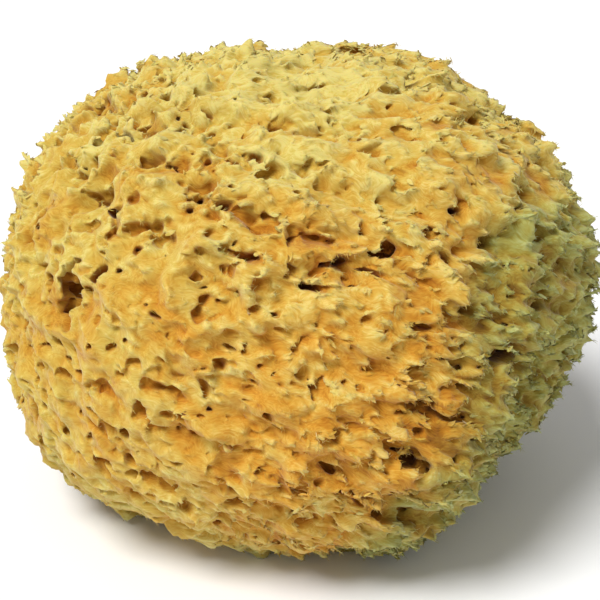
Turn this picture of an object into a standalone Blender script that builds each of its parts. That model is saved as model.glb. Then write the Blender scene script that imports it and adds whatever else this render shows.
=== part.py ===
"""A natural sea sponge: one grown piece with a shaggy, tufted surface, round pores and a trimmed flat base.

It rests on the base at Z = 0. The front, where the widest pores are, faces -Y. Sizes are in metres.
"""

import math

import bmesh
import bpy
import numpy as np

# The large form: a squarish ellipsoid, with its centre this high above the trimmed base
HALF_WIDTH = 0.083
HALF_DEPTH = 0.081
HALF_HEIGHT = 0.0725
SQUARENESS = 2.4
CENTRE_HEIGHT = 0.063

# Broad swellings and hollows: azimuth, elevation and reach in degrees, then rise in metres.
# Azimuth 0 is the front and 90 is the right, +X.
SWELLINGS = {
    "right_lobe": (88, 8, 24, 0.005),
    "flank_valley": (54, -8, 15, -0.016),
    "front_ridge": (34, -4, 14, 0.007),
    "low_ridge": (24, -32, 15, 0.002),
    "low_valley": (48, -34, 14, -0.008),
    "right_underside": (84, -36, 26, -0.010),
    "lower_front": (4, -44, 24, -0.0045),
    "left_front_foot": (-42, -48, 32, -0.0055),
    "left_shoulder": (-72, 40, 34, 0.0025),
    "upper_right": (72, 46, 28, 0.0035),
    "left_low": (-85, -28, 28, 0.005),
    "back_hollow": (160, 20, 26, -0.004),
    "back_lobe": (-140, 5, 28, 0.004),
}

# The skeleton grew in one direction, which the ridges follow and the tufts lean to
GROWTH = np.array((0.93, 0.15, -0.33))
GROWTH_STRETCH = 2.1

LUMP_SIZE = 0.021
LUMP_RISE = 0.0022
RIDGE_SPACING = 0.0095
RIDGE_RISE = 0.0034

TUFT_COUNT = 560
TUFT_HALF_WIDTH = 0.0058
TUFT_HALF_LENGTH = 0.0098
TUFT_RISE = (0.0024, 0.0066)
TUFT_SHARPNESS = 1.2
TUFT_LEAN = 0.6

# The tufts are lower on the front's left side: azimuth, elevation and reach in degrees, then the share left there
WORN_FACE = (-38, 2, 42, 0.45)

# The pores that stand out: azimuth and elevation in degrees, then half width, half height and depth in metres
LARGE_PORES = {
    "left_great": (-46, 20, 0.0036, 0.0066, 0.014),
    "left_upper": (-49, 38, 0.0032, 0.0032, 0.010),
    "left_crease": (-56, 54, 0.0046, 0.0028, 0.005),
    "shoulder_pair_outer": (-41, 38, 0.0022, 0.0022, 0.006),
    "shoulder_pair_inner": (-33, 39, 0.0026, 0.0024, 0.008),
    "middle_slit": (-7, 38, 0.0036, 0.0018, 0.008),
    "crown_slit": (-6, 62, 0.0038, 0.0022, 0.006),
    "black_crevice": (22, 32, 0.0048, 0.0028, 0.014),
    "black_round": (32, 28, 0.0026, 0.0026, 0.012),
    "long_crevice": (7, 27, 0.0070, 0.0018, 0.010),
    "front_square": (5, 9, 0.0028, 0.0028, 0.009),
    "ridge_high": (24, 19, 0.0028, 0.0020, 0.008),
    "ridge_middle": (22, 11, 0.0026, 0.0026, 0.011),
    "ridge_low": (27, 3, 0.0028, 0.0026, 0.012),
    "foot_hollow": (24, -10, 0.0050, 0.0030, 0.012),
    "foot_slit": (12, -16, 0.0030, 0.0022, 0.009),
    "front_left_pair": (-23, 7, 0.0038, 0.0024, 0.008),
    "front_left_tall": (-16, 9, 0.0024, 0.0032, 0.008),
    "left_low_round": (-28, 2, 0.0026, 0.0024, 0.008),
    "left_edge_round": (-37, 5, 0.0024, 0.0022, 0.008),
    "left_foot": (-36, -3, 0.0026, 0.0028, 0.008),
    "left_rim": (-40, -14, 0.0030, 0.0028, 0.007),
    "flank_upper": (42, 10, 0.0042, 0.0042, 0.009),
    "flank_lower": (45, 1, 0.0044, 0.0030, 0.010),
}

# The same kind of pore all over, spread along a spiral
SMALL_PORE_COUNT = 230
SMALL_PORE_RADIUS = (0.0022, 0.0042)
SMALL_PORE_DEPTH = (0.007, 0.012)
BASE_PORE_DEPTH = 0.023
BASE_ELEVATION = -48
REST_POINT_CLEARANCE = 14

SKIN_SUBDIVISIONS = 7
KEPT_SHARE_OF_FACES = 0.112

SPONGE_COLOUR = (0.68, 0.45, 0.13, 1.0)
SPONGE_ROUGHNESS = 0.9


def direction(azimuth, elevation):
    """Unit vector from the form's centre, for angles in degrees."""
    a, e = math.radians(azimuth), math.radians(elevation)
    return np.array((math.sin(a) * math.cos(e), -math.cos(a) * math.cos(e), math.sin(e)))


def angle_to(directions, centre):
    """Angle in radians between each direction and one centre."""
    return np.arccos(np.clip(directions @ centre, -1.0, 1.0))


def form_radius(directions):
    """Distance from the centre to the large form's surface, along each direction."""
    n = SQUARENESS
    halves = np.array((HALF_WIDTH, HALF_DEPTH, HALF_HEIGHT))
    radius = (np.abs(directions / halves) ** n).sum(axis=1) ** (-1 / n)
    for azimuth, elevation, reach, rise in SWELLINGS.values():
        angle = angle_to(directions, direction(azimuth, elevation))
        radius += rise * np.exp(-((angle / math.radians(reach)) ** 2))
    return radius


def lattice_noise(points, cell, seed, period=32):
    """Smooth noise from -1 to 1: random values on a lattice of this cell, blended between its corners."""
    values = np.random.default_rng(seed).uniform(-1, 1, (period, period, period))
    scaled = points / cell
    corner = np.floor(scaled).astype(int)
    t = scaled - corner
    t = t * t * (3 - 2 * t)
    total = np.zeros(len(points))
    for step in np.ndindex(2, 2, 2):
        weight = np.where(step, t, 1 - t).prod(axis=1)
        i, j, k = ((corner + step) % period).T
        total += weight * values[i, j, k]
    return total


def along_growth(directions):
    """The growth direction laid along the surface. It is short where the surface faces that way."""
    growth = GROWTH / np.linalg.norm(GROWTH)
    return growth - directions * (directions @ growth)[:, None]


def lumps_and_ridges(points):
    """Height of the broad lumps, and of the ridges, which are stretched along the growth direction."""
    growth = GROWTH / np.linalg.norm(GROWTH)
    stretched = points - np.outer(points @ growth, growth) * (1 - 1 / GROWTH_STRETCH)
    lumps = LUMP_RISE * lattice_noise(points, LUMP_SIZE, seed=3)
    sharp = 1 - 2 * np.abs(lattice_noise(stretched, RIDGE_SPACING, seed=8))
    return lumps + RIDGE_RISE * sharp


def spiral(count, jitter, seed):
    """Directions spread evenly over the form along a spiral, each shifted by up to jitter of the spacing."""
    rng = np.random.default_rng(seed)
    index = np.arange(count) + 0.5
    z = 1 - 2 * index / count
    turn = index * math.pi * (3 - math.sqrt(5))
    flat = np.sqrt(1 - z * z)
    found = np.stack((flat * np.cos(turn), flat * np.sin(turn), z), axis=1)
    spacing = math.sqrt(4 * math.pi / count)
    found += rng.uniform(-jitter, jitter, found.shape) * spacing
    return found / np.linalg.norm(found, axis=1, keepdims=True)


def tufts(directions, radius):
    """Height of the pointed tufts, one around each point of a spiral, longer along the growth direction."""
    centres = spiral(TUFT_COUNT, jitter=0.32, seed=11)
    azimuth, elevation, reach, share = WORN_FACE
    worn = np.exp(-((angle_to(centres, direction(azimuth, elevation)) / math.radians(reach)) ** 2))
    rise = np.random.default_rng(12).uniform(*TUFT_RISE, TUFT_COUNT) * (1 - (1 - share) * worn)
    growth = along_growth(centres)
    growth /= np.linalg.norm(growth, axis=1, keepdims=True)
    height = np.zeros(len(directions))
    for centre, lengthwise, top in zip(centres, growth, rise):
        offset = (directions - centre) * radius[:, None]
        along = offset @ lengthwise
        across = np.sqrt(np.maximum((offset**2).sum(axis=1) - along**2, 0))
        distance = np.hypot(along / TUFT_HALF_LENGTH, across / TUFT_HALF_WIDTH)
        height = np.maximum(height, top * np.clip(1 - distance, 0, 1) ** TUFT_SHARPNESS)
    return height


def pore_list():
    """Every pore as (direction, half width, half height, depth)."""
    pores = [(direction(a, e), w, h, deep) for a, e, w, h, deep in LARGE_PORES.values()]
    rng = np.random.default_rng(21)
    for centre in spiral(SMALL_PORE_COUNT, jitter=0.3, seed=20):
        half_width = rng.uniform(*SMALL_PORE_RADIUS)
        half_height = half_width * rng.uniform(0.6, 1.0)
        depth = rng.uniform(*SMALL_PORE_DEPTH)
        elevation = math.degrees(math.asin(centre[2]))
        if elevation < BASE_ELEVATION:
            depth = BASE_PORE_DEPTH
        if elevation > REST_POINT_CLEARANCE - 90:
            pores.append((centre, half_width, half_height, depth))
    return pores


def pores(directions, radius):
    """Depth of the pores, and the share of a tuft that still stands there."""
    depth = np.zeros(len(directions))
    standing = np.ones(len(directions))
    for centre, half_width, half_height, deep in pore_list():
        across = np.cross((0.0, 0.0, 1.0), centre)
        across /= np.linalg.norm(across)
        up = np.cross(centre, across)
        ahead = directions @ centre > 0
        x = directions @ across * radius / half_width
        y = directions @ up * radius / half_height
        inside = ahead * np.clip(1 - (x * x + y * y) ** 2, 0, 1)
        depth = np.maximum(depth, deep * inside**0.6)
        standing = np.minimum(standing, 1 - inside)
    return depth, standing


def sponge_mesh():
    """The tufted, pored skin as a fine closed mesh, which still runs on below the base."""
    skin = bmesh.new()
    bmesh.ops.create_icosphere(skin, subdivisions=SKIN_SUBDIVISIONS, radius=1.0)
    directions = np.array([vertex.co for vertex in skin.verts])
    radius = form_radius(directions)
    depth, standing = pores(directions, radius)
    tuft_height = tufts(directions, radius)
    height = lumps_and_ridges(directions * radius[:, None]) + tuft_height * standing - depth
    places = directions * (radius + height)[:, None]
    places += along_growth(directions) * (TUFT_LEAN * tuft_height)[:, None]
    places[:, 2] += CENTRE_HEIGHT
    for vertex, place in zip(skin.verts, places):
        vertex.co = place
    mesh = bpy.data.meshes.new("sponge")
    skin.to_mesh(mesh)
    skin.free()
    return mesh


def ground_cutter():
    """A block under Z = 0 that trims the base flat."""
    side = 4 * HALF_WIDTH
    block = bmesh.new()
    bmesh.ops.create_cube(block, size=side)
    bmesh.ops.translate(block, verts=block.verts, vec=(0, 0, -side / 2))
    mesh = bpy.data.meshes.new("ground_cutter")
    block.to_mesh(mesh)
    block.free()
    cutter = bpy.data.objects.new("ground_cutter", mesh)
    cutter.hide_render = True
    cutter.display_type = "WIRE"
    return cutter


def sponge_material():
    material = bpy.data.materials.new("sponge")
    material.use_nodes = True
    shader = material.node_tree.nodes["Principled BSDF"]
    shader.inputs["Base Color"].default_value = SPONGE_COLOUR
    shader.inputs["Roughness"].default_value = SPONGE_ROUGHNESS
    shader.inputs["Metallic"].default_value = 0.0
    return material


def new_collection(name):
    made = bpy.data.collections.new(name)
    bpy.context.scene.collection.children.link(made)
    return made


def main():
    for old in list(bpy.data.objects):
        bpy.data.objects.remove(old)

    cutter = ground_cutter()
    new_collection("cutters").objects.link(cutter)

    sponge = bpy.data.objects.new("sponge", sponge_mesh())
    sponge.data.materials.append(sponge_material())
    new_collection("sea_sponge").objects.link(sponge)

    fewer = sponge.modifiers.new("fewer faces", "DECIMATE")
    fewer.ratio = KEPT_SHARE_OF_FACES
    trim = sponge.modifiers.new("trimmed base", "BOOLEAN")
    trim.operation = "DIFFERENCE"
    trim.object = cutter


main()
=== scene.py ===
import math
import time

import bpy
import numpy as np
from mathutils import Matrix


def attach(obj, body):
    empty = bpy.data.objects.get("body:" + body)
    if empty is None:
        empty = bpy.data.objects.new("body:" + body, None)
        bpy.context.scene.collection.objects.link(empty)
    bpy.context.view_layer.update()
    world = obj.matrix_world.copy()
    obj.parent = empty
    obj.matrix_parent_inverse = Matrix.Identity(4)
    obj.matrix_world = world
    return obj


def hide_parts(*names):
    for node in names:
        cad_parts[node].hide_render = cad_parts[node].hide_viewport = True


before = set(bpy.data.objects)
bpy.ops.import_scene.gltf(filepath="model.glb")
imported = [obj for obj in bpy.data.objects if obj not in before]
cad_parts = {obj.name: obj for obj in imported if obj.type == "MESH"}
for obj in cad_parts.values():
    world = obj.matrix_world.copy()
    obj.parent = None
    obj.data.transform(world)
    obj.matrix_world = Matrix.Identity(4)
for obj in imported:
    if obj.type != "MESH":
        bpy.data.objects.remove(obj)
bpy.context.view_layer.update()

import openvdb
from mathutils import Matrix, Vector

began = time.perf_counter()


def report(stage):
    print(f"sponge: {stage} ({time.perf_counter() - began:.0f} s)", flush=True)


# the sponge's large form, the same as the solid's, in metres and degrees
form = {
    "halfWidth": 0.083,
    "halfDepth": 0.081,
    "halfHeight": 0.0725,
    "squareness": 2.4,
    "centreHeight": 0.063,
    "growth": (0.93, 0.15, -0.33),  # the way the skeleton grew, and the tufts lean
    "swellings": {  # azimuth, elevation, reach, rise
        "rightLobe": (88, 8, 24, 0.005),
        "flankValley": (54, -8, 15, -0.016),
        "frontRidge": (34, -4, 14, 0.007),
        "lowRidge": (24, -32, 15, 0.002),
        "lowValley": (48, -34, 14, -0.008),
        "rightUnderside": (84, -36, 26, -0.010),
        "lowerFront": (4, -44, 24, -0.0045),
        "leftFrontFoot": (-42, -48, 32, -0.0055),
        "leftShoulder": (-72, 40, 34, 0.0025),
        "upperRight": (72, 46, 28, 0.0035),
        "leftLow": (-85, -28, 28, 0.005),
        "backHollow": (160, 20, 26, -0.004),
        "backLobe": (-140, 5, 28, 0.004),
    },
}


def unit(vectors):
    return vectors / np.linalg.norm(vectors, axis=-1, keepdims=True)


growth = unit(np.array(form["growth"]))
gridUp = unit(np.array((0.0, 0.0, 1.0)) - growth * growth[2])
gridAxes = np.stack((growth, np.cross(gridUp, growth), gridUp))  # rows: along, across, up
centre = np.array((0.0, 0.0, form["centreHeight"]))


def direction(azimuth, elevation):
    a, e = math.radians(azimuth), math.radians(elevation)
    return np.array((math.sin(a) * math.cos(e), -math.cos(a) * math.cos(e), math.sin(e)))


def angleTo(directions, middle):
    return np.arccos(np.clip(directions @ middle, -1.0, 1.0))


def near(directions, azimuth, elevation, reach):
    # 1 at the middle of a patch, fading out over its reach
    return np.exp(-((angleTo(directions, direction(azimuth, elevation)) / math.radians(reach)) ** 2))


def formRadius(directions):
    n = form["squareness"]
    halves = np.array((form["halfWidth"], form["halfDepth"], form["halfHeight"]))
    radius = (np.abs(directions / halves) ** n).sum(axis=-1) ** (-1 / n)
    for azimuth, elevation, reach, rise in form["swellings"].values():
        radius += rise * near(directions, azimuth, elevation, reach)
    return radius


def latticeNoise(points, cell, seed, period=32):
    # smooth noise from -1 to 1, the same as the solid's
    values = np.random.default_rng(seed).uniform(-1, 1, (period, period, period))
    scaled = points / cell
    corner = np.floor(scaled).astype(int)
    t = scaled - corner
    t = t * t * (3 - 2 * t)
    total = np.zeros(len(points))
    for step in np.ndindex(2, 2, 2):
        weight = np.where(step, t, 1 - t).prod(axis=1)
        i, j, k = ((corner + step) % period).T
        total += weight * values[i, j, k]
    return total


# lumps, ridges and tufts that the solid has too, and where the felt over them is calmer
relief = {
    "lumpSize": 0.021,
    "lumpRise": 0.0022,
    "ridgeSpacing": 0.0095,
    "ridgeRise": 0.0034,
    "ridgeStretch": 2.1,
    "tuftCount": 560,
    "tuftHalfWidth": 0.0058,
    "tuftHalfLength": 0.0098,
    "tuftRise": (0.0024, 0.0066),
    "tuftSharpness": 1.2,
    "tuftReach": 0.985,  # cosine of the angle at which every tuft has ended
    "wornFace": (-38, 2, 42, 0.45),  # azimuth, elevation, reach, share of the tufts left there
    "crown": (10, 72, 42, 0.65),  # azimuth, elevation, reach, and how worn it is beside the worn face
    "wornFoot": (-46, -22, 34),  # azimuth, elevation and reach of where the ridges lie lowest
    "ridgeWorn": 0.75,
    "tuftShare": 0.75,  # how much of a tuft is solid felt, before its loose ends
    "lean": 0.75,  # how far the surface leans along the growth for each metre it rises
}


def calm(directions):
    # how smooth the felt is: most on the worn face, less on the crown
    azimuth, elevation, reach, share = relief["crown"]
    worn = np.maximum(near(directions, *relief["wornFace"][:3]), near(directions, *relief["wornFoot"]))
    return np.maximum(worn, share * near(directions, azimuth, elevation, reach))


def spiral(count, jitter, seed):
    # directions spread evenly all round, each a little out of place
    rng = np.random.default_rng(seed)
    index = np.arange(count) + 0.5
    z = 1 - 2 * index / count
    turn = index * math.pi * (3 - math.sqrt(5))
    flat = np.sqrt(1 - z * z)
    found = np.stack((flat * np.cos(turn), flat * np.sin(turn), z), axis=1)
    found += rng.uniform(-jitter, jitter, found.shape) * math.sqrt(4 * math.pi / count)
    return unit(found)


def alongGrowth(directions):
    return growth - directions * (directions @ growth)[..., None]


def reliefHeight(directions, radius):
    points = directions * radius[:, None]
    stretched = points - np.outer(points @ growth, growth) * (1 - 1 / relief["ridgeStretch"])
    height = relief["lumpRise"] * latticeNoise(points, relief["lumpSize"], seed=3)
    ridges = 1 - 2 * np.abs(latticeNoise(stretched, relief["ridgeSpacing"], seed=8))
    height += relief["ridgeRise"] * (1 - relief["ridgeWorn"] * near(directions, *relief["wornFoot"])) * ridges
    centres = spiral(relief["tuftCount"], jitter=0.32, seed=11)
    azimuth, elevation, reach, share = relief["wornFace"]
    worn = np.maximum(near(centres, azimuth, elevation, reach), near(centres, *relief["wornFoot"]))
    rises = np.random.default_rng(12).uniform(*relief["tuftRise"], len(centres)) * (1 - (1 - share) * worn)
    lengthwise = unit(alongGrowth(centres))
    tufts = np.zeros(len(directions))
    for middle, along, rise in zip(centres, lengthwise, rises):
        close = np.flatnonzero(directions @ middle > relief["tuftReach"])
        offset = (directions[close] - middle) * radius[close, None]
        lengthways = offset @ along
        sideways = np.sqrt(np.maximum((offset**2).sum(axis=1) - lengthways**2, 0))
        distance = np.hypot(lengthways / relief["tuftHalfLength"], sideways / relief["tuftHalfWidth"])
        cone = rise * np.clip(1 - distance, 0, 1) ** relief["tuftSharpness"]
        tufts[close] = np.maximum(tufts[close], cone)
    return height + relief["tuftShare"] * tufts


# the block of cells that holds the sponge, in axes laid along its growth
block = {
    "cell": 0.0005,
    "margin": 0.004,
    "coarseCell": 0.002,  # of the coarse block that the skin is laid out in
    "tableStep": 0.75,  # degrees
    "band": 2,  # cells on each side of the surface that keep their distances
    "tolerance": 0.001,  # cells by which distances may differ and still be stored as one
    "faceMerging": 0.1,  # how readily flat places get larger faces, from 0 to 1
    "smoothShares": (0.5, 0.3),
    "airStep": 2,  # cells between the places where the air is counted
}


def skinHeights():
    # height of the skin over the centre, for every azimuth and elevation
    step = math.radians(block["tableStep"])
    elevations = np.arange(-math.pi / 2, math.pi / 2 + step, step)
    azimuths = np.arange(-math.pi, math.pi + step, step)
    e, a = np.meshgrid(elevations, azimuths, indexing="ij")
    directions = np.stack((np.sin(a) * np.cos(e), -np.cos(a) * np.cos(e), np.sin(e)), axis=-1).reshape(-1, 3)
    radius = formRadius(directions)
    return (radius + reliefHeight(directions, radius)).reshape(e.shape)


def readTable(table, directions):
    # value between the entries, for any direction
    step = math.radians(block["tableStep"])
    e = (np.arcsin(np.clip(directions[:, 2], -1, 1)) + math.pi / 2) / step
    a = (np.arctan2(directions[:, 0], -directions[:, 1]) + math.pi) / step
    i = np.clip(e.astype(int), 0, table.shape[0] - 2)
    j = np.clip(a.astype(int), 0, table.shape[1] - 2)
    s, t = e - i, a - j
    low = table[i, j] * (1 - t) + table[i, j + 1] * t
    high = table[i + 1, j] * (1 - t) + table[i + 1, j + 1] * t
    return low * (1 - s) + high * s


def spread(lattice, shape, step, cells, smooth=True):
    # fills the block from a coarse lattice, one axis after another
    corners, shares = [], []
    for count, cell, layers in zip(shape, cells, lattice.shape):
        place = np.arange(count) * step / cell
        corner = np.minimum(place.astype(int), layers - 2)
        t = place - corner
        corners.append(corner)
        shares.append((t * t * (3 - 2 * t) if smooth else t).astype(np.float32))
    lattice = lattice.astype(np.float32)
    i, j, k = corners
    x, y, z = shares
    rows = lattice[:, :, k] * (1 - z) + lattice[:, :, k + 1] * z
    layers = rows[:, j] * (1 - y[:, None]) + rows[:, j + 1] * y[:, None]
    found = np.empty(shape, np.float32)
    for n in range(shape[0]):
        found[n] = layers[i[n]] * (1 - x[n]) + layers[i[n] + 1] * x[n]
    return found


def blockNoise(shape, step, cells, seed):
    counts = [int(n * step / cell) + 2 for n, cell in zip(shape, cells)]
    lattice = np.random.default_rng(seed).uniform(-1, 1, counts)
    return spread(lattice, shape, step, cells)


# pores that stand out: azimuth, elevation, half width, half height, depth
greatPores = {
    "leftGreat": (-46.5, 19.5, 0.0042, 0.0084, 0.0125),
    "leftUpper": (-50, 38, 0.0034, 0.0034, 0.0036),
    "leftCrease": (-56, 54, 0.0046, 0.0028, 0.0035),
    "shoulderPairOuter": (-40, 34, 0.0026, 0.0022, 0.0030),
    "shoulderPairInner": (-31, 36, 0.0030, 0.0024, 0.0030),
    "middleSlit": (-7, 38, 0.0034, 0.0016, 0.0045),
    "crownSlit": (-6, 62, 0.0036, 0.0020, 0.0040),
    "frontSquare": (5, 9, 0.0028, 0.0028, 0.0036),
    "frontLeftPair": (-23, 7, 0.0036, 0.0022, 0.0028),
    "frontLeftTall": (-16, 9, 0.0024, 0.0032, 0.0030),
    "leftLowRound": (-28, 2, 0.0026, 0.0026, 0.0028),
    "leftEdgeRound": (-37, 5, 0.0026, 0.0022, 0.0028),
    "leftFoot": (-36, -3, 0.0026, 0.0032, 0.0028),
    "leftRim": (-40, -14, 0.0036, 0.0032, 0.0030),
    "flankUpper": (42, 10, 0.0040, 0.0040, 0.009),
    "flankLower": (45, 1, 0.0040, 0.0028, 0.010),
}

# pores of the same kind all over, then pits and pinholes between them
pores = {
    "count": 230,
    "radius": (0.0022, 0.0042),
    "depth": (0.007, 0.012),
    "baseDepth": 0.023,  # of the canals that open in the base
    "baseElevation": -48,  # below which the pores are such canals
    "restPointClearance": 14,  # degrees round the middle of the base that stay whole
    # azimuth and elevation of chance pores that fell where the felt is whole, and how near they are
    "leftOut": ((20, 46), (-30, 30), (-35, 27)),
    "leftOutReach": 1.5,
    "heightShare": (0.6, 1.0),  # half height for each half width
    "pitCount": 560,
    "pitRadius": (0.0011, 0.0024),
    "pitDepth": (0.0012, 0.0030),
    "smallCount": 850,
    "smallRadius": (0.0006, 0.0013),
    "smallDepth": (0.0015, 0.0035),
    "shallowPlaces": ((-38, 2, 46), (0, 22, 38), (0, 76, 40)),  # azimuth, elevation, reach
    "shallowShare": 0.24,  # share of their depth left there
    "ragged": 0.6,  # share of a pore's width that its rim wanders
    "raggedCells": (0.0030, 0.0022, 0.0022),
    "heart": 0.4,  # share of its depth at which a pore's middle lies
    "around": 0.7,  # share of its depth and width that it reaches from there
}

# dark clefts under the lips, which run along the growth
# azimuth, elevation, half length, half height, depth, degrees turned from the growth
clefts = {
    "blackCrevice": (22, 33, 0.0056, 0.0024, 0.011, 12),
    "blackRound": (33, 29, 0.0022, 0.0024, 0.010, 0),
    "underLipHigh": (11, 32, 0.0046, 0.0012, 0.007, 14),
    "underLipLow": (18, 29, 0.0038, 0.0011, 0.007, -6),
    "longSlit": (4, 28, 0.0050, 0.0012, 0.008, -8),
    "ridgeSlit": (24, 19, 0.0046, 0.0017, 0.009, 22),
    "ridgeHole": (22, 12, 0.0020, 0.0023, 0.009, 0),
    "ridgeFork": (25, 5, 0.0034, 0.0024, 0.010, 35),
    "footNotch": (8, 1, 0.0014, 0.0024, 0.007, 30),
    "footHollow": (22, -6, 0.0046, 0.0034, 0.009, -30),
    "footLedge": (11, -14, 0.0060, 0.0026, 0.008, -8),
    "rimSlit": (15, -23, 0.0030, 0.0015, 0.008, 15),
    "flankHollow": (52, 4, 0.0034, 0.0058, 0.010, 30),
    "flankFoot": (62, -10, 0.0050, 0.0026, 0.009, 25),
    "shoulderSlit": (-23, 43, 0.0030, 0.0014, 0.007, -30),
    "leftSlit": (-40, 25, 0.0022, 0.0013, 0.006, 80),
    "middleCrease": (-10, 33, 0.0060, 0.0010, 0.004, -10),
}

# hollows between the webs of felt, and the felt's own lumps, as sizes along and across the growth
felt = {
    "hollowCells": ((0.0080, 0.0046, 0.0046), (0.0038, 0.0024, 0.0024), (0.0019, 0.0012, 0.0012)),
    "hollowShares": (0.56, 0.30, 0.14),
    "combedCells": (0.0150, 0.0040, 0.0040),  # in place of the widest hollows, where the felt is combed
    "combedPlace": (34, -16, 34),
    "combedStrength": 1.4,
    "hollowEdge": 0.13,  # the higher, the fewer hollows
    "hollowEdgeWorn": 0.14,  # added on the worn face
    "hollowFade": 55.0,  # how fast the hollows close up, for each metre below the skin
    "hollowFadeWorn": 75.0,  # added on the worn face
    "hollowSlope": 0.0042,
    "lumpCells": (0.0058, 0.0040, 0.0040),
    "lumpRise": 0.0009,
    "nubCells": (0.0034, 0.0018, 0.0018),
    "nubRise": 0.0006,
    "grainCells": (0.0018, 0.0010, 0.0010),
    "grainRise": 0.00022,
}

# pointed tongues of felt, which the lean lays over
tongues = {
    "count": 5200,
    "halfLength": (0.0022, 0.0048),
    "slimness": (0.42, 0.7),  # half width for each half length
    "rise": (0.0012, 0.0044),
    "wornShare": 0.25,  # share of their rise left on the worn face
    "sharpness": 1.15,
    "sink": 0.0006,  # how far their roots lie under the skin
}


def windowAt(heart, reach, low, step, shape):
    # the cells of the block round a place, and where their rows lie along the block's axes
    first = np.maximum(np.floor((heart - reach - low) / step).astype(int), 0)
    last = np.minimum(np.ceil((heart + reach - low) / step).astype(int), shape)
    if (last <= first).any():
        return None, None
    sides = [low[i] + np.arange(first[i], last[i]) * step for i in range(3)]
    return tuple(slice(a, b) for a, b in zip(first, last)), sides


def alongAxis(sides, axis):
    # how far each cell of a window lies along an axis
    x, y, z = gridAxes @ axis
    return sides[0][:, None, None] * x + sides[1][None, :, None] * y + sides[2][None, None, :] * z


def addTongues(field, above, low, step, skinTable):
    rng = np.random.default_rng(31)
    middles = spiral(tongues["count"], jitter=0.55, seed=30)
    shares = 1 - (1 - tongues["wornShare"]) * calm(middles)
    tops = middles * readTable(skinTable, middles)[:, None]
    lengthwise = unit(alongGrowth(middles))
    for middle, top, along, share in zip(middles, tops, lengthwise, shares):
        halfLength = rng.uniform(*tongues["halfLength"])
        halfWidth = halfLength * rng.uniform(*tongues["slimness"])
        rise = rng.uniform(*tongues["rise"]) * share
        window, sides = windowAt(gridAxes @ top, halfLength + rise, low, step, field.shape)
        if window is None:
            continue
        x = (alongAxis(sides, along) - top @ along) / halfLength
        across = np.cross(middle, along)
        y = (alongAxis(sides, across) - top @ across) / halfWidth
        cone = np.clip(1 - np.sqrt(x * x + y * y), 0, 1) ** tongues["sharpness"]
        tongue = (rise + tongues["sink"]) * cone - tongues["sink"]
        field[window] = np.maximum(field[window], tongue - above[window])


def levelAxis(middle):
    # level and along the surface
    return unit(np.cross((0.0, 0.0, 1.0), middle))


def poreList():
    # each pore's middle, its long axis, half width, half height and depth
    found = []
    for azimuth, elevation, halfWidth, halfHeight, depth in greatPores.values():
        middle = direction(azimuth, elevation)
        found.append((middle, levelAxis(middle), halfWidth, halfHeight, depth))
    for azimuth, elevation, halfLength, halfHeight, depth, turn in clefts.values():
        middle = direction(azimuth, elevation)
        along, turn = unit(alongGrowth(middle)), math.radians(turn)
        axis = along * math.cos(turn) + np.cross(middle, along) * math.sin(turn)
        found.append((middle, axis, halfLength, halfHeight, depth))
    rng = np.random.default_rng(21)
    for middle in spiral(pores["count"], jitter=0.3, seed=20):
        filled = (1 - pores["shallowShare"]) * max(near(middle, *place) for place in pores["shallowPlaces"])
        halfWidth = rng.uniform(*pores["radius"]) * math.sqrt(1 - filled)
        halfHeight = halfWidth * rng.uniform(*pores["heightShare"])
        depth = rng.uniform(*pores["depth"]) * (1 - filled)
        elevation = math.degrees(math.asin(middle[2]))
        if elevation < pores["baseElevation"]:
            depth = pores["baseDepth"]
        away = min(angleTo(middle, direction(*place)) for place in pores["leftOut"])
        leftOut = away < math.radians(pores["leftOutReach"])
        if elevation > pores["restPointClearance"] - 90 and not leftOut:
            found.append((middle, levelAxis(middle), halfWidth, halfHeight, depth))
    for seed, kind in ((22, "small"), (24, "pit")):
        rng = np.random.default_rng(seed)
        for middle in spiral(pores[kind + "Count"], jitter=0.6, seed=seed + 1):
            halfWidth = rng.uniform(*pores[kind + "Radius"])
            halfHeight = halfWidth * rng.uniform(*pores["heightShare"])
            depth = rng.uniform(*pores[kind + "Depth"])
            found.append((middle, levelAxis(middle), halfWidth, halfHeight, depth))
    return found


def cutPores(field, above, wander, low, step, skinTable):
    for middle, across, halfWidth, halfHeight, depth in poreList():
        top = middle * readTable(skinTable, middle[None])[0]
        up = np.cross(middle, across)
        reach = math.hypot(depth, halfWidth) * pores["around"] + halfWidth
        heart = top - middle * depth * pores["heart"]
        window, sides = windowAt(gridAxes @ heart, reach, low, step, field.shape)
        if window is None:
            continue
        x = (alongAxis(sides, across) - top @ across) / halfWidth
        y = (alongAxis(sides, up) - top @ up) / halfHeight
        sunk = np.minimum(above[window], 0) / depth
        inside = 1 - np.sqrt(x * x + y * y + sunk * sunk) + pores["ragged"] * wander[window]
        field[window] = np.minimum(field[window], -inside * min(halfWidth, halfHeight))


def boxMean(volume, reach):
    # mean over a cube of this many cells each way
    for axis in range(3):
        before = np.repeat(volume.take([0], axis), reach + 1, axis)
        after = np.repeat(volume.take([-1], axis), reach, axis)
        total = np.cumsum(np.concatenate((before, volume, after), axis), axis, dtype=np.float32)
        width = 2 * reach + 1
        ahead = np.take(total, np.arange(width, total.shape[axis]), axis)
        behind = np.take(total, np.arange(0, total.shape[axis] - width), axis)
        volume = (ahead - behind) / width
    return volume


def readVolume(volume, places):
    # value between the cells, for places counted in cells
    corner = np.clip(places.astype(int), 0, np.array(volume.shape) - 2)
    t = np.clip(places - corner, 0, 1).astype(np.float32)
    total = np.zeros(len(places), np.float32)
    for step in np.ndindex(2, 2, 2):
        weight = np.where(step, t, 1 - t).prod(axis=1)
        i, j, k = (corner + step).T
        total += weight * volume[i, j, k]
    return total


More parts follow.
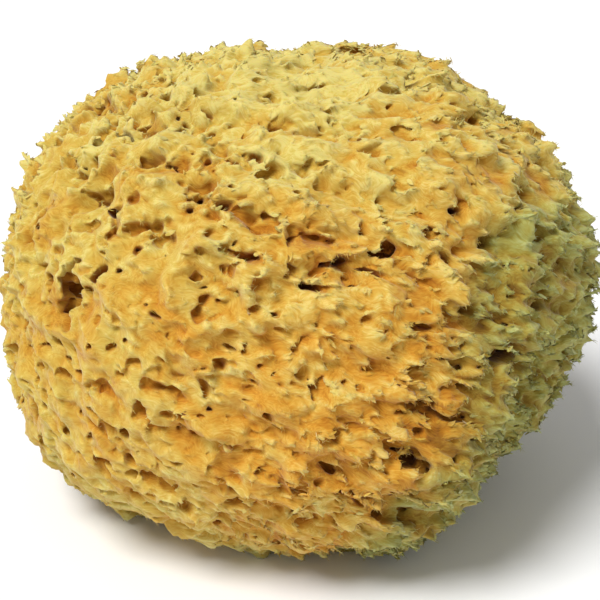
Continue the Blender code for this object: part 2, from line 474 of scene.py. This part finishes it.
def spongeVolume():
    # the block of cells, above 0 inside the felt
    step, coarse = block["cell"], block["coarseCell"]
    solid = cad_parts["sponge"].data
    corners = np.empty(len(solid.vertices) * 3, np.float32)
    solid.vertices.foreach_get("co", corners)
    laid = (corners.reshape(-1, 3) - centre) @ gridAxes.T
    low, high = laid.min(axis=0) - block["margin"], laid.max(axis=0) + block["margin"]
    shape = tuple(np.ceil((high - low) / step).astype(int))
    report(f"block of {shape} cells")

    skinTable = skinHeights()
    counts = [int(n * step / coarse) + 2 for n in shape]
    grid = np.meshgrid(*(low[i] + np.arange(counts[i]) * coarse for i in range(3)), indexing="ij")
    points = np.stack(grid, axis=-1).reshape(-1, 3) @ gridAxes
    distance = np.linalg.norm(points, axis=1)
    directions = points / np.maximum(distance, 1e-6)[:, None]
    overSkin = (distance - readTable(skinTable, directions)).reshape(counts)
    worn = calm(directions).reshape(counts)
    report("skin laid out")

    cells = (coarse, coarse, coarse)
    above = spread(overSkin, shape, step, cells, smooth=False)
    edge = spread(felt["hollowEdge"] + felt["hollowEdgeWorn"] * worn, shape, step, cells, smooth=False)
    wander = blockNoise(shape, step, pores["raggedCells"], seed=40)
    field = -above
    field += felt["lumpRise"] * blockNoise(shape, step, felt["lumpCells"], seed=41)
    field += felt["nubRise"] * (1 - 2 * np.abs(blockNoise(shape, step, felt["nubCells"], seed=42)))
    field += felt["grainRise"] * blockNoise(shape, step, felt["grainCells"], seed=43)
    report("felt laid out")
    addTongues(field, above, low, step, skinTable)
    report("tongues added")

    # the hollows cut where their noise is higher than the edge, which rises below the skin
    fade = spread(felt["hollowFade"] + felt["hollowFadeWorn"] * worn, shape, step, cells, smooth=False)
    fade *= np.minimum(above, 0)
    edge -= fade
    del fade
    combed = near(directions, *felt["combedPlace"]).reshape(counts)
    combed = spread(np.clip(felt["combedStrength"] * combed, 0, 1), shape, step, cells, smooth=False)
    for seed, (cell, share) in enumerate(zip(felt["hollowCells"], felt["hollowShares"])):
        hollows = blockNoise(shape, step, cell, seed=50 + seed)
        if seed == 0:
            hollows += combed * (blockNoise(shape, step, felt["combedCells"], seed=56) - hollows)
        edge -= share * hollows
    del hollows, combed
    field = np.minimum(field, felt["hollowSlope"] * edge)
    del edge
    report("hollows cut")
    cutPores(field, above, wander, low, step, skinTable)
    report("pores cut")
    return field, above, low, step


# how the surface bends after it is cut out: its lean, then small wanderings
bend = {
    "leanLimits": (-0.004, 0.006),  # heights over the skin between which the lean grows
    "wanderRise": 0.0009,
    "wanderCell": 0.0050,
    "curlRise": 0.0004,
    "curlCell": 0.0021,
    "baseFade": 0.006,  # the wanderings fade out this near to the ground
}


def leaned(points, above):
    lean = relief["lean"] * np.clip(above, *bend["leanLimits"])
    return points + alongGrowth(unit(points)) * lean[:, None]


def bent(points, above):
    # where a point of the block ends up, laid along the world's axes with the ground at 0
    places = leaned(points, above) + centre
    share = np.clip(places[:, 2] / bend["baseFade"], 0, 1)
    for kind, seed in (("wander", 60), ("curl", 70)):
        for axis in range(3):
            noise = latticeNoise(points, bend[kind + "Cell"], seed=seed + axis)
            places[:, axis] += share * bend[kind + "Rise"] * noise
    return places


def cutBase(field, above, low, step):
    # trims the block so that the leaned surface ends flat on the ground
    down = gridAxes[:, 2]
    sides = [low[i] + np.arange(field.shape[i]) * step for i in range(3)]
    band = block["band"] * step
    reach = relief["lean"] * max(np.abs(bend["leanLimits"])) + band
    flat = sides[1][:, None] * down[1] + sides[2][None, :] * down[2] + form["centreHeight"]
    for i, side in enumerate(sides[0]):
        height = flat + side * down[0]
        field[i][height < -reach] = -band
        j, k = np.nonzero(np.abs(height) < reach)
        if len(j):
            points = np.stack((np.full(len(j), side), sides[1][j], sides[2][k]), axis=1) @ gridAxes
            landed = leaned(points, above[i, j, k])[:, 2] + form["centreHeight"]
            field[i, j, k] = np.minimum(field[i, j, k], landed)


def largestPiece(count, edges):
    # which points hang together with the most others
    label = np.arange(count)
    while True:
        lowest = label.copy()
        np.minimum.at(lowest, edges[:, 0], label[edges[:, 1]])
        np.minimum.at(lowest, edges[:, 1], label[edges[:, 0]])
        lowest = lowest[lowest]
        if (lowest == label).all():
            break
        label = lowest
    return label == np.bincount(label).argmax()


def smoothed(points, edges):
    # moves every point part of the way to the middle of its neighbours
    count = len(points)
    ends = np.concatenate((edges[:, 0], edges[:, 1]))
    others = np.concatenate((edges[:, 1], edges[:, 0]))
    total = np.maximum(np.bincount(ends, minlength=count), 1)
    for share in block["smoothShares"]:
        middles = [np.bincount(ends, points[others, axis], count) / total for axis in range(3)]
        points = points + share * (np.stack(middles, axis=1) - points)
    return points


def meshOfVolume(field, low, step):
    # the surface where the block's cells pass 0, without loose crumbs
    band = block["band"] * step
    volume = openvdb.FloatGrid(float(-band))
    volume.copyFromArray(np.clip(field, -band, band), tolerance=float(step * block["tolerance"]))
    points, triangles, quads = volume.convertToPolygons(0.0, block["faceMerging"])
    report(f"{len(triangles) + 2 * len(quads)} triangles found")
    sides = [triangles[:, ends] for ends in ([0, 1], [1, 2], [2, 0])]
    sides += [quads[:, ends] for ends in ([0, 1], [1, 2], [2, 3], [3, 0])]
    edges = np.concatenate(sides)
    kept = largestPiece(len(points), edges.astype(np.int64))
    number = np.cumsum(kept) - 1
    triangles = number[triangles[kept[triangles[:, 0]]]]
    quads = number[quads[kept[quads[:, 0]]]]
    edges = number[edges[kept[edges[:, 0]]]]
    points = smoothed(points[kept] * step + low, edges)
    mesh = bpy.data.meshes.new("wholeSponge")
    mesh.vertices.add(len(points))
    mesh.vertices.foreach_set("co", points.astype(np.float32).ravel())
    mesh.loops.add(3 * len(triangles) + 4 * len(quads))
    outward = np.concatenate((triangles[:, ::-1].ravel(), quads[:, ::-1].ravel()))
    mesh.loops.foreach_set("vertex_index", outward.astype(np.int32))
    mesh.polygons.add(len(triangles) + len(quads))
    starts = np.concatenate((np.arange(len(triangles)) * 3, 3 * len(triangles) + np.arange(len(quads)) * 4))
    mesh.polygons.foreach_set("loop_start", starts.astype(np.int32))
    mesh.update()
    return mesh


def thinned(mesh, triangles):
    # a copy with about this many triangles
    whole = bpy.data.objects.new("wholeSponge", mesh)
    bpy.context.scene.collection.objects.link(whole)
    before = sum(len(p.vertices) - 2 for p in mesh.polygons)
    fewer = whole.modifiers.new("fewer faces", "DECIMATE")
    fewer.ratio = min(1, triangles / before)
    bpy.context.view_layer.update()
    found = bpy.data.meshes.new_from_object(whole.evaluated_get(bpy.context.evaluated_depsgraph_get()))
    bpy.data.objects.remove(whole)
    return found


def openness(field, reach):
    # share of air around each place, from a coarser copy of the block
    every = slice(None, None, block["airStep"])
    solid = (field[every, every, every] > 0).astype(np.float32)
    return 1 - boxMean(solid, reach)


def sectorsOf(mesh, count):
    # which sector round the sponge each face is in, with as many in each
    middles = np.empty(len(mesh.polygons) * 3, np.float32)
    mesh.polygons.foreach_get("center", middles)
    middles = middles.reshape(-1, 3)
    azimuth = np.arctan2(middles[:, 0], -middles[:, 1])
    order = np.argsort(azimuth)
    sector = np.empty(len(order), int)
    sector[order] = np.arange(len(order)) * count // len(order)
    return sector


def facesOf(mesh):
    corners = np.empty(len(mesh.loops), np.int32)
    mesh.loops.foreach_get("vertex_index", corners)
    starts = np.empty(len(mesh.polygons), np.int32)
    mesh.polygons.foreach_get("loop_start", starts)
    totals = np.empty(len(mesh.polygons), np.int32)
    mesh.polygons.foreach_get("loop_total", totals)
    return corners, starts, totals


def vectorsOf(items, name):
    found = np.empty(len(items) * 3, np.float32)
    items.foreach_get(name, found)
    return found.reshape(-1, 3)


def newMesh(name, points, corners, totals, normals, marks):
    mesh = bpy.data.meshes.new(name)
    mesh.vertices.add(len(points))
    mesh.vertices.foreach_set("co", np.ascontiguousarray(points, np.float32).ravel())
    mesh.loops.add(len(corners))
    mesh.loops.foreach_set("vertex_index", corners.astype(np.int32))
    mesh.polygons.add(len(totals))
    mesh.polygons.foreach_set("loop_start", (np.cumsum(totals) - totals).astype(np.int32))
    mesh.update(calc_edges=True)
    mesh.polygons.foreach_set("use_smooth", np.ones(len(totals), bool))
    for mark, values in marks.items():
        mesh.attributes.new(mark, "FLOAT", "POINT").data.foreach_set("value", values.astype(np.float32))
    # a map for the pattern: across by how light the felt is with its painted light and shade, up by how warm
    flat = np.stack((marks["tone"], marks["warm"]), axis=1)[corners]
    mesh.uv_layers.new(name="OFBake").data.foreach_set("uv", flat.astype(np.float32).ravel())
    mesh.normals_split_custom_set_from_vertices(normals)
    return mesh


def newObject(name, mesh, material):
    made = bpy.data.objects.new(name, mesh)
    bpy.context.scene.collection.objects.link(made)
    mesh.materials.append(material)
    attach(made, "root")
    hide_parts("sponge")


# the felt body, in sectors so that no piece has too many triangles
body = {
    "triangles": 690000,
    "sectors": ("sponge_back_left", "sponge_front_left", "sponge_front_right", "sponge_back_right"),
    "narrowReach": 1,  # places where the air is counted each way, for the air close by
    "wideReach": 4,  # the same for the air round about
}

# how light and how warm the felt is: 0 deep in a pit to 1 on a bright lip, with painted shade in the pits and
# crevices and painted light on open lips, and 0 lemon to 1 orange
tint = {
    # painted shade: darker the deeper the felt lies below the skin and the less air is round it, lighter on
    # open lips
    "fromHeight": (-0.0065, 0.0018, 0.52),  # from, to, share
    "fromTip": (0.36, 0.78, 0.26),  # by the share of air close by
    "fromOpen": (0.16, 0.58, 0.22),  # by the share of air round about
    "mottle": ((0.0035, 0.05), (0.0014, 0.07), (0.0006, 0.06)),  # cell, share
    # painted light on the crown where light falls from above, painted shade on the fold in the front ridge's
    # shadow, on the ridge, the worn face and the low places
    "paintedLightAndShadePlaces": {  # azimuth, elevation, reach, share
        "crown": (0, 76, 42, 0.20),
        "lowerFront": (30, -30, 34, -0.02),
        "wornFace": (-40, 10, 45, -0.09),
        "fold": (50, 14, 15, -0.14),
        "ridge": (24, 12, 14, -0.07),
        "ridgeTop": (24, 28, 14, -0.03),
        "lowFlank": (62, -24, 20, -0.02),
    },
    "warmBase": 0.46,
    "warmMottle": ((0.030, 0.10), (0.014, 0.16), (0.0070, 0.26), (0.0032, 0.22), (0.0012, 0.06)),
    "warmDarkens": 0.44,  # how much darker the felt is for each share that it is warmer
    "warmInPaintedShade": 0.98,  # how much warmer it is for each share that it is darker than the middle tone, a painted orange glow in the pits' painted shade
    "middleTone": 0.62,
    "warmPlaces": {  # azimuth, elevation, reach, share
        "front": (0, 5, 36, 0.52),
        "left": (-52, 14, 42, -0.17),
        "lowerFront": (10, -32, 34, 0.16),
        "ridge": (28, 22, 26, 0.22),
        "crown": (0, 78, 38, -0.14),
    },
    "wornPaintedPitLight": 0.20,  # painted light: how much the pits' painted shade is lifted on the worn face
    # the felt darkened and turned olive on the flank and fold turned from the light, the lower left, the back
    # and near the ground: partly its own duller colour, partly painted shade
    "oliveAndPaintedShadePlaces": {  # azimuth, elevation, reach, how soft its edge is, share
        "flank": (76, -26, 53, 5, 1.0),
        "fold": (54, 10, 23, 5, 1.0),
        "leftFoot": (-95, -50, 40, 20, 0.35),
        "back": (150, -20, 45, 20, 0.3),
    },
    "oliveAndPaintedShadeCools": 0.40,  # how much less warm the felt is there
    "oliveAndPaintedShadeWander": (0.008, 4.0),  # cell, degrees that the edge wanders
    "oliveAndPaintedShadeNearGround": (0.014, 0.5),  # up to this height, by this share
}


def eased(values, low, high):
    # 0 below the low limit to 1 above the high one, smoothly
    t = np.clip((values - low) / (high - low), 0, 1)
    return t * t * (3 - 2 * t)


def tints(points, places, depth, narrow, wide):
    # what each place of the felt is marked with for its material
    directions = unit(points)
    tone = np.zeros(len(points))
    # painted shade in the pits and crevices, painted light on the lips
    for values, source in ((depth, "fromHeight"), (narrow, "fromTip"), (wide, "fromOpen")):
        low, high, share = tint[source]
        tone += share * np.clip((values - low) / (high - low), 0, 1)
    for n, (cell, share) in enumerate(tint["mottle"]):
        tone += share * latticeNoise(points, cell, seed=90 + n)
    patches = np.zeros(len(points))
    for n, (cell, share) in enumerate(tint["warmMottle"]):
        patches += share * latticeNoise(points, cell, seed=80 + n)
    # painted light and shade in places
    for azimuth, elevation, reach, share in tint["paintedLightAndShadePlaces"].values():
        tone += share * near(directions, azimuth, elevation, reach)
    # the pits' painted shade is painted warmer too
    warm = tint["warmBase"] + tint["warmInPaintedShade"] * (tint["middleTone"] - tone) + patches
    tone -= tint["warmDarkens"] * patches
    for azimuth, elevation, reach, share in tint["warmPlaces"].values():
        warm += share * near(directions, azimuth, elevation, reach)
    # olive tint with painted shade on the flank, fold, lower left and back, and near the ground
    cell, degrees = tint["oliveAndPaintedShadeWander"]
    wander = degrees * latticeNoise(points, cell, seed=88)
    olive = np.zeros(len(points))
    for azimuth, elevation, reach, soft, share in tint["oliveAndPaintedShadePlaces"].values():
        away = np.degrees(angleTo(directions, direction(azimuth, elevation))) + wander
        olive = np.maximum(olive, share * (1 - eased(away, reach - soft, reach + soft)))
    top, share = tint["oliveAndPaintedShadeNearGround"]
    olive = np.maximum(olive, share * (1 - eased(places[:, 2], 0, top)))
    warm -= tint["oliveAndPaintedShadeCools"] * olive
    worn = calm(directions)
    # painted light lifting the pits' shade on the worn face
    tone += tint["wornPaintedPitLight"] * worn * (1 - np.clip(tone, 0, 1))
    marks = {"tone": tone, "warm": warm, "olive": olive, "worn": worn}
    return {mark: np.clip(values, 0, 1) for mark, values in marks.items()}


def makeBody(material):
    field, above, low, step = spongeVolume()
    cutBase(field, above, low, step)
    report("base cut")
    whole = thinned(meshOfVolume(field, low, step), body["triangles"])
    report(f"{len(whole.polygons)} faces kept")

    laid = vectorsOf(whole.vertices, "co")
    inBlock = (laid - low) / step
    depth = readVolume(above, inBlock)
    narrow = readVolume(openness(field, body["narrowReach"]), inBlock / block["airStep"])
    wide = readVolume(openness(field, body["wideReach"]), inBlock / block["airStep"])
    del field, above
    points = laid @ gridAxes
    places = bent(points, depth)
    places[np.abs(places[:, 2]) < step / 2, 2] = 0  # the base lies flat on the ground
    marks = tints(points, places, depth, narrow, wide)
    whole.vertices.foreach_set("co", places.astype(np.float32).ravel())
    whole.update()
    normals = vectorsOf(whole.vertices, "normal")
    report("body bent")

    corners, starts, totals = facesOf(whole)
    sector = sectorsOf(whole, len(body["sectors"]))
    cornerSector = np.repeat(sector, totals)
    for n, name in enumerate(body["sectors"]):
        mine = corners[cornerSector == n]
        used, numbered = np.unique(mine, return_inverse=True)
        mesh = newMesh(name, places[used], numbered, totals[sector == n], normals[used],
                       {mark: values[used] for mark, values in marks.items()})
        newObject(name, mesh, material)
        report(f"{name}: {len(mesh.polygons)} faces")
    bpy.data.meshes.remove(whole)
    return places, normals, depth, narrow, marks


# loose ends combed over the felt: short thin fibres, and petals like small curved leaves
strands = {
    "fuzz": {
        "count": 56000,
        "widths": (0.8, 0.8),  # at each joint, as shares of the half width
        "length": (0.0008, 0.0024),
        "halfWidth": (0.00006, 0.00014),
        "lift": (0.0, 0.30),  # radians off the felt
        "curl": 0.3,  # radians that a joint turns up or down
        "bend": 0.3,  # radians that a joint turns sideways
        "stray": 0.4,  # radians that a whole strand turns from the combing
        "lipShare": 1.6,  # how many more there are on lips
        "lighter": (-0.08, 0.08),
        "fewerWorn": 0.4,  # how many fewer there are on the worn face
        "fewerOnLeft": 0.3,
        "setBack": 0.0,  # share of the length that lies behind the root
        "droop": 0.0,  # radians that each joint turns back down
    },
    "petals": {
        "count": 22000,
        "widths": (0.45, 1.0, 0.8),
        "length": (0.0014, 0.0034),
        "halfWidth": (0.00024, 0.00065),
        "lift": (-0.02, 0.30),
        "curl": 0.18,
        "bend": 0.22,
        "stray": 0.25,
        "lipShare": 2.0,
        "lighter": (-0.06, 0.04),
        "fewerWorn": 1.7,
        "fewerOnLeft": 0.97,
        "setBack": 0.45,
        "droop": 0.22,
    },
}

# how all the loose ends lie, and where they are few
combing = {
    "sunk": 0.00015,  # how deep their roots are
    "uneven": 0.05,
    "swirlCell": 0.0065,
    "swirl": 1.1,  # radians that neighbouring strands turn together
    "swirlWorn": 2.6,
    "deepest": -0.0035,  # height over the skin below which there are none
    "lipLimits": (0.45, 0.75),  # shares of air close by between which a place turns into a lip
    "flatShare": 0.25,  # how many there are away from the lips
    "warmer": 0.16,
    # painted light: tips lighter than the roots, which lie in the felt's shade
    "tipPaintedLight": 0.06,
    "baseClearance": 0.0009,  # height over the ground below which there are none
    "edgeTilt": 0.35,  # how far the shading of the two edges turns apart
    "leftSide": (-62, 38, 48),  # azimuth, elevation and reach of the short felt on the left
}


def strandMesh(kind, seed, places, normals, depth, narrow, marks):
    rng = np.random.default_rng(seed)
    lips = eased(narrow, *combing["lipLimits"])
    weight = eased(depth, combing["deepest"], 0.0) * (combing["flatShare"] + kind["lipShare"] * lips)
    weight *= places[:, 2] > combing["baseClearance"]
    weight *= np.clip(1 - kind["fewerWorn"] * marks["worn"], 0, 1)
    weight *= 1 - kind["fewerOnLeft"] * near(unit(places - centre), *combing["leftSide"])
    roots = rng.choice(len(places), kind["count"], replace=False, p=weight / weight.sum())
    place, normal = places[roots], unit(normals[roots])
    count = len(roots)

    def drawn(scatter):
        return rng.normal(0, scatter, count)[:, None]

    def between(limits):
        return rng.uniform(*limits, count)[:, None]

    ahead = growth - normal * (normal @ growth)[:, None]
    ahead = unit(ahead + rng.normal(0, combing["uneven"], (count, 3)))
    beside = unit(np.cross(normal, ahead))
    swirl = combing["swirl"] + (combing["swirlWorn"] - combing["swirl"]) * marks["worn"][roots]
    heading = (latticeNoise(place, combing["swirlCell"], seed=110) * swirl)[:, None]
    heading = heading + drawn(kind["stray"])
    bend, lift, curl = drawn(kind["bend"]), between(kind["lift"]), drawn(kind["curl"])
    joints = len(kind["widths"])
    stride = between(kind["length"]) / joints
    halfWidth = between(kind["halfWidth"])

    # each joint has a pair of points, and the tip has one
    rings = []
    spine = place - combing["sunk"] * normal
    spine = spine - kind["setBack"] * stride * joints * (ahead * np.cos(heading) + beside * np.sin(heading))
    for width in kind["widths"]:
        along = ahead * np.cos(heading) + beside * np.sin(heading)
        across = beside * np.cos(heading) - ahead * np.sin(heading)
        rings += [spine - across * halfWidth * width, spine + across * halfWidth * width]
        spine = spine + stride * (along * np.cos(lift) + normal * np.sin(lift))
        heading, lift = heading + bend, lift + curl - kind["droop"]
    shape = np.stack(rings + [spine], axis=1)
    shape[..., 2] = np.maximum(shape[..., 2], 0)
    tilt = across * combing["edgeTilt"]
    facing = np.stack([normal - tilt, normal + tilt] * joints + [normal], axis=1)
    pattern = []
    for n in range(joints - 1):
        pattern += [2 * n, 2 * n + 2, 2 * n + 3, 2 * n + 1]
    pattern += [2 * joints - 2, 2 * joints, 2 * joints - 1]
    corners = (np.arange(count)[:, None] * (2 * joints + 1) + np.array(pattern)).ravel()
    totals = np.tile([4] * (joints - 1) + [3], count)

    toTip = np.array([n // 2 / joints for n in range(2 * joints)] + [1.0])
    # random tone, and painted light towards the tips
    lighter = between(kind["lighter"]) + combing["tipPaintedLight"] * toTip
    warmer = drawn(combing["warmer"])[:, 0]
    found = {
        "tone": np.clip(marks["tone"][roots][:, None] + lighter, 0, 1).ravel(),
        "warm": np.repeat(np.clip(marks["warm"][roots] + warmer, 0, 1), len(toTip)),
        "olive": np.repeat(marks["olive"][roots], len(toTip)),
        "worn": np.repeat(marks["worn"][roots], len(toTip)),
    }
    return newMesh("strands", shape.reshape(-1, 3), corners, totals, unit(facing.reshape(-1, 3)), found)


def makeStrands(material, *bodyData):
    for seed, (name, kind) in enumerate(strands.items(), start=101):
        newObject(f"sponge_{name}", strandMesh(kind, seed, *bodyData), material)
        report(f"sponge_{name}: {kind['count']} strands")


def addNode(tree, kind, place, **values):
    node = tree.nodes.new(kind)
    node.location = place
    for name, value in values.items():
        setattr(node, name, value)
    return node


def setRamp(node, stops):
    ramp = node.color_ramp
    while len(ramp.elements) > 1:
        ramp.elements.remove(ramp.elements[-1])
    for n, (place, colour) in enumerate(stops):
        stop = ramp.elements[0] if n == 0 else ramp.elements.new(place)
        stop.position = place
        stop.color = (*colour, 1)


feltLook = {
    "lemonStops": (  # tone, colour; the dark stops colour the painted shade of the pits, the light ones the painted light of the lips
        (0.00, (0.17, 0.080, 0.006)),
        (0.22, (0.32, 0.178, 0.014)),
        (0.42, (0.40, 0.255, 0.028)),
        (0.62, (0.50, 0.350, 0.052)),
        (0.82, (0.57, 0.440, 0.095)),
        (1.00, (0.65, 0.55, 0.175)),
    ),
    "orangeStops": (
        (0.00, (0.16, 0.052, 0.003)),
        (0.22, (0.34, 0.122, 0.006)),
        (0.42, (0.45, 0.180, 0.012)),
        (0.62, (0.56, 0.268, 0.026)),
        (0.82, (0.63, 0.355, 0.054)),
        (1.00, (0.70, 0.475, 0.125)),
    ),
    "olive": (0.66, 0.80, 0.95),  # what the olive places are multiplied by, darkening them with painted shade and an olive tint
    "fibreScale": (260, 1500, 1500),  # along, across, up
    "fibreDetail": 2,
    "fibreDistortion": 0.6,
    "fibreLimits": (0.3, 0.7),
    "swirlScale": 130,
    "swirlDetail": 1,
    "swirlReach": 0.010,  # how far the swirls push the fibres aside
    "fibreShare": 0.17,  # how much lighter or darker the fibres make the felt
    "fibreDepth": 0.00025,
    "fibreStrength": 0.7,
    "fibreWorn": 0.25,  # how much less the fibres show on the worn face
    "roughness": 0.85,
    "sheen": 0.2,
    "specular": 0.1,
    "translucence": 0.3,
    "lightReach": (1.0, 0.55, 0.2),
    "lightReachScale": 0.0012,
}


def feltMaterial():
    material = bpy.data.materials.new("spongeFelt")
    material.use_nodes = True
    tree = material.node_tree
    link = tree.links.new
    shader = tree.nodes["Principled BSDF"]
    shader.inputs["Roughness"].default_value = feltLook["roughness"]
    shader.inputs["Sheen Weight"].default_value = feltLook["sheen"]
    shader.inputs["Specular IOR Level"].default_value = feltLook["specular"]
    shader.inputs["Subsurface Weight"].default_value = feltLook["translucence"]
    shader.inputs["Subsurface Radius"].default_value = feltLook["lightReach"]
    shader.inputs["Subsurface Scale"].default_value = feltLook["lightReachScale"]
    tone = addNode(tree, "ShaderNodeAttribute", (-1500, 300), attribute_name="tone")
    warm = addNode(tree, "ShaderNodeAttribute", (-1500, 100), attribute_name="warm")
    olive = addNode(tree, "ShaderNodeAttribute", (-1500, -100), attribute_name="olive")

    # fine fibres that run along the growth
    place = addNode(tree, "ShaderNodeTexCoord", (-2500, -400))
    swirl = addNode(tree, "ShaderNodeTexNoise", (-2300, -550))
    swirl.inputs["Scale"].default_value = feltLook["swirlScale"]
    swirl.inputs["Detail"].default_value = feltLook["swirlDetail"]
    fromMiddle = addNode(tree, "ShaderNodeVectorMath", (-2100, -550), operation="SUBTRACT")
    fromMiddle.inputs[1].default_value = (0.5, 0.5, 0.5)
    swirled = addNode(tree, "ShaderNodeVectorMath", (-1900, -400), operation="MULTIPLY_ADD")
    swirled.inputs[1].default_value = (feltLook["swirlReach"],) * 3
    link(place.outputs["Object"], swirl.inputs["Vector"])
    link(swirl.outputs["Color"], fromMiddle.inputs[0])
    link(fromMiddle.outputs["Vector"], swirled.inputs[0])
    link(place.outputs["Object"], swirled.inputs[2])
    turned = addNode(tree, "ShaderNodeMapping", (-1700, -400), vector_type="TEXTURE")
    turned.inputs["Rotation"].default_value = Matrix(gridAxes.T.tolist()).to_euler()
    stretched = addNode(tree, "ShaderNodeVectorMath", (-1500, -400), operation="MULTIPLY")
    stretched.inputs[1].default_value = feltLook["fibreScale"]
    fibre = addNode(tree, "ShaderNodeTexNoise", (-1300, -400))
    fibre.inputs["Scale"].default_value = 1
    fibre.inputs["Detail"].default_value = feltLook["fibreDetail"]
    fibre.inputs["Distortion"].default_value = feltLook["fibreDistortion"]
    link(swirled.outputs["Vector"], turned.inputs["Vector"])
    link(turned.outputs["Vector"], stretched.inputs[0])
    link(stretched.outputs["Vector"], fibre.inputs["Vector"])
    change = addNode(tree, "ShaderNodeMapRange", (-1100, -300))
    change.inputs["From Min"].default_value = feltLook["fibreLimits"][0]
    change.inputs["From Max"].default_value = feltLook["fibreLimits"][1]
    change.inputs["To Min"].default_value = -feltLook["fibreShare"]
    change.inputs["To Max"].default_value = feltLook["fibreShare"]
    link(fibre.outputs["Fac"], change.inputs["Value"])
    worn = addNode(tree, "ShaderNodeAttribute", (-1500, -900), attribute_name="worn")
    fluffy = addNode(tree, "ShaderNodeMapRange", (-1300, -900))
    fluffy.inputs["To Min"].default_value = 1
    fluffy.inputs["To Max"].default_value = 1 - feltLook["fibreWorn"]
    link(worn.outputs["Fac"], fluffy.inputs["Value"])
    lightness = addNode(tree, "ShaderNodeMath", (-900, 300), operation="MULTIPLY_ADD", use_clamp=True)
    link(change.outputs["Result"], lightness.inputs[0])
    link(fluffy.outputs["Result"], lightness.inputs[1])
    link(tone.outputs["Fac"], lightness.inputs[2])

    # lemon or orange by how warm the felt is, each from the painted shade of dark pits to the painted light
    # of light lips
    lemonRamp = addNode(tree, "ShaderNodeValToRGB", (-700, 400))
    orangeRamp = addNode(tree, "ShaderNodeValToRGB", (-700, 150))
    setRamp(lemonRamp, feltLook["lemonStops"])
    setRamp(orangeRamp, feltLook["orangeStops"])
    link(lightness.outputs[0], lemonRamp.inputs["Fac"])
    link(lightness.outputs[0], orangeRamp.inputs["Fac"])
    hue = addNode(tree, "ShaderNodeMix", (-400, 300), data_type="RGBA")
    link(warm.outputs["Fac"], hue.inputs["Factor"])
    link(lemonRamp.outputs["Color"], hue.inputs["A"])
    link(orangeRamp.outputs["Color"], hue.inputs["B"])
    # darker and olive where the felt has its olive tint and painted shade
    shaded = addNode(tree, "ShaderNodeMix", (-200, 300), data_type="RGBA", blend_type="MULTIPLY")
    shaded.inputs["B"].default_value = (*feltLook["olive"], 1)
    link(olive.outputs["Fac"], shaded.inputs["Factor"])
    link(hue.outputs["Result"], shaded.inputs["A"])
    link(shaded.outputs["Result"], shader.inputs["Base Color"])

    bump = addNode(tree, "ShaderNodeBump", (-400, -300))
    strength = addNode(tree, "ShaderNodeMath", (-600, -500), operation="MULTIPLY")
    strength.inputs[1].default_value = feltLook["fibreStrength"]
    link(fluffy.outputs["Result"], strength.inputs[0])
    link(strength.outputs[0], bump.inputs["Strength"])
    bump.inputs["Distance"].default_value = feltLook["fibreDepth"]
    link(fibre.outputs["Fac"], bump.inputs["Height"])
    link(bump.outputs["Normal"], shader.inputs["Normal"])
    return material


look = {
    "floorSize": 6,
    "floorColour": (0.9, 0.9, 0.9, 1),
    "floorRoughness": 0.9,
    "viewElevation": 25,
    "viewDistance": 0.52,
    "lens": 100,
    "aim": (0.002, 0, 0.064),
    "keyPlace": (-0.36, -0.42, 0.95),
    "keySpread": 24,  # degrees across, which softens its shadows
    "keyStrength": 3.2,
    "skyStrength": 0.40,
}


def aimAt(thing, target):
    thing.rotation_euler = (Vector(target) - thing.location).to_track_quat("-Z", "Y").to_euler()


def softSun(name, place, spread, strength):
    data = bpy.data.lights.new(name, "SUN")
    data.angle = math.radians(spread)
    data.energy = strength
    lamp = bpy.data.objects.new(name, data)
    bpy.context.scene.collection.objects.link(lamp)
    lamp.location = place
    aimAt(lamp, look["aim"])


def makeStudio():
    scene = bpy.context.scene
    bpy.ops.mesh.primitive_plane_add(size=look["floorSize"])
    floor = bpy.context.object
    floor.name = "floor"
    paper = bpy.data.materials.new("paleFloor")
    paper.use_nodes = True
    shader = paper.node_tree.nodes["Principled BSDF"]
    shader.inputs["Base Color"].default_value = look["floorColour"]
    shader.inputs["Roughness"].default_value = look["floorRoughness"]
    floor.data.materials.append(paper)
    world = bpy.data.worlds.new("studio")
    world.use_nodes = True
    sky = world.node_tree.nodes["Background"]
    sky.inputs["Color"].default_value = (1, 1, 1, 1)
    sky.inputs["Strength"].default_value = look["skyStrength"]
    scene.world = world
    softSun("keyLight", look["keyPlace"], look["keySpread"], look["keyStrength"])
    scene.view_settings.view_transform = "Standard"
    lens = bpy.data.cameras.new("camera")
    lens.lens = look["lens"]
    camera = bpy.data.objects.new("camera", lens)
    scene.collection.objects.link(camera)
    e = math.radians(look["viewElevation"])
    camera.location = Vector(look["aim"]) + Vector((0, -math.cos(e), math.sin(e))) * look["viewDistance"]
    aimAt(camera, look["aim"])
    scene.camera = camera


spongeFelt = feltMaterial()
makeStrands(spongeFelt, *makeBody(spongeFelt))
makeStudio()
report("studio set up")
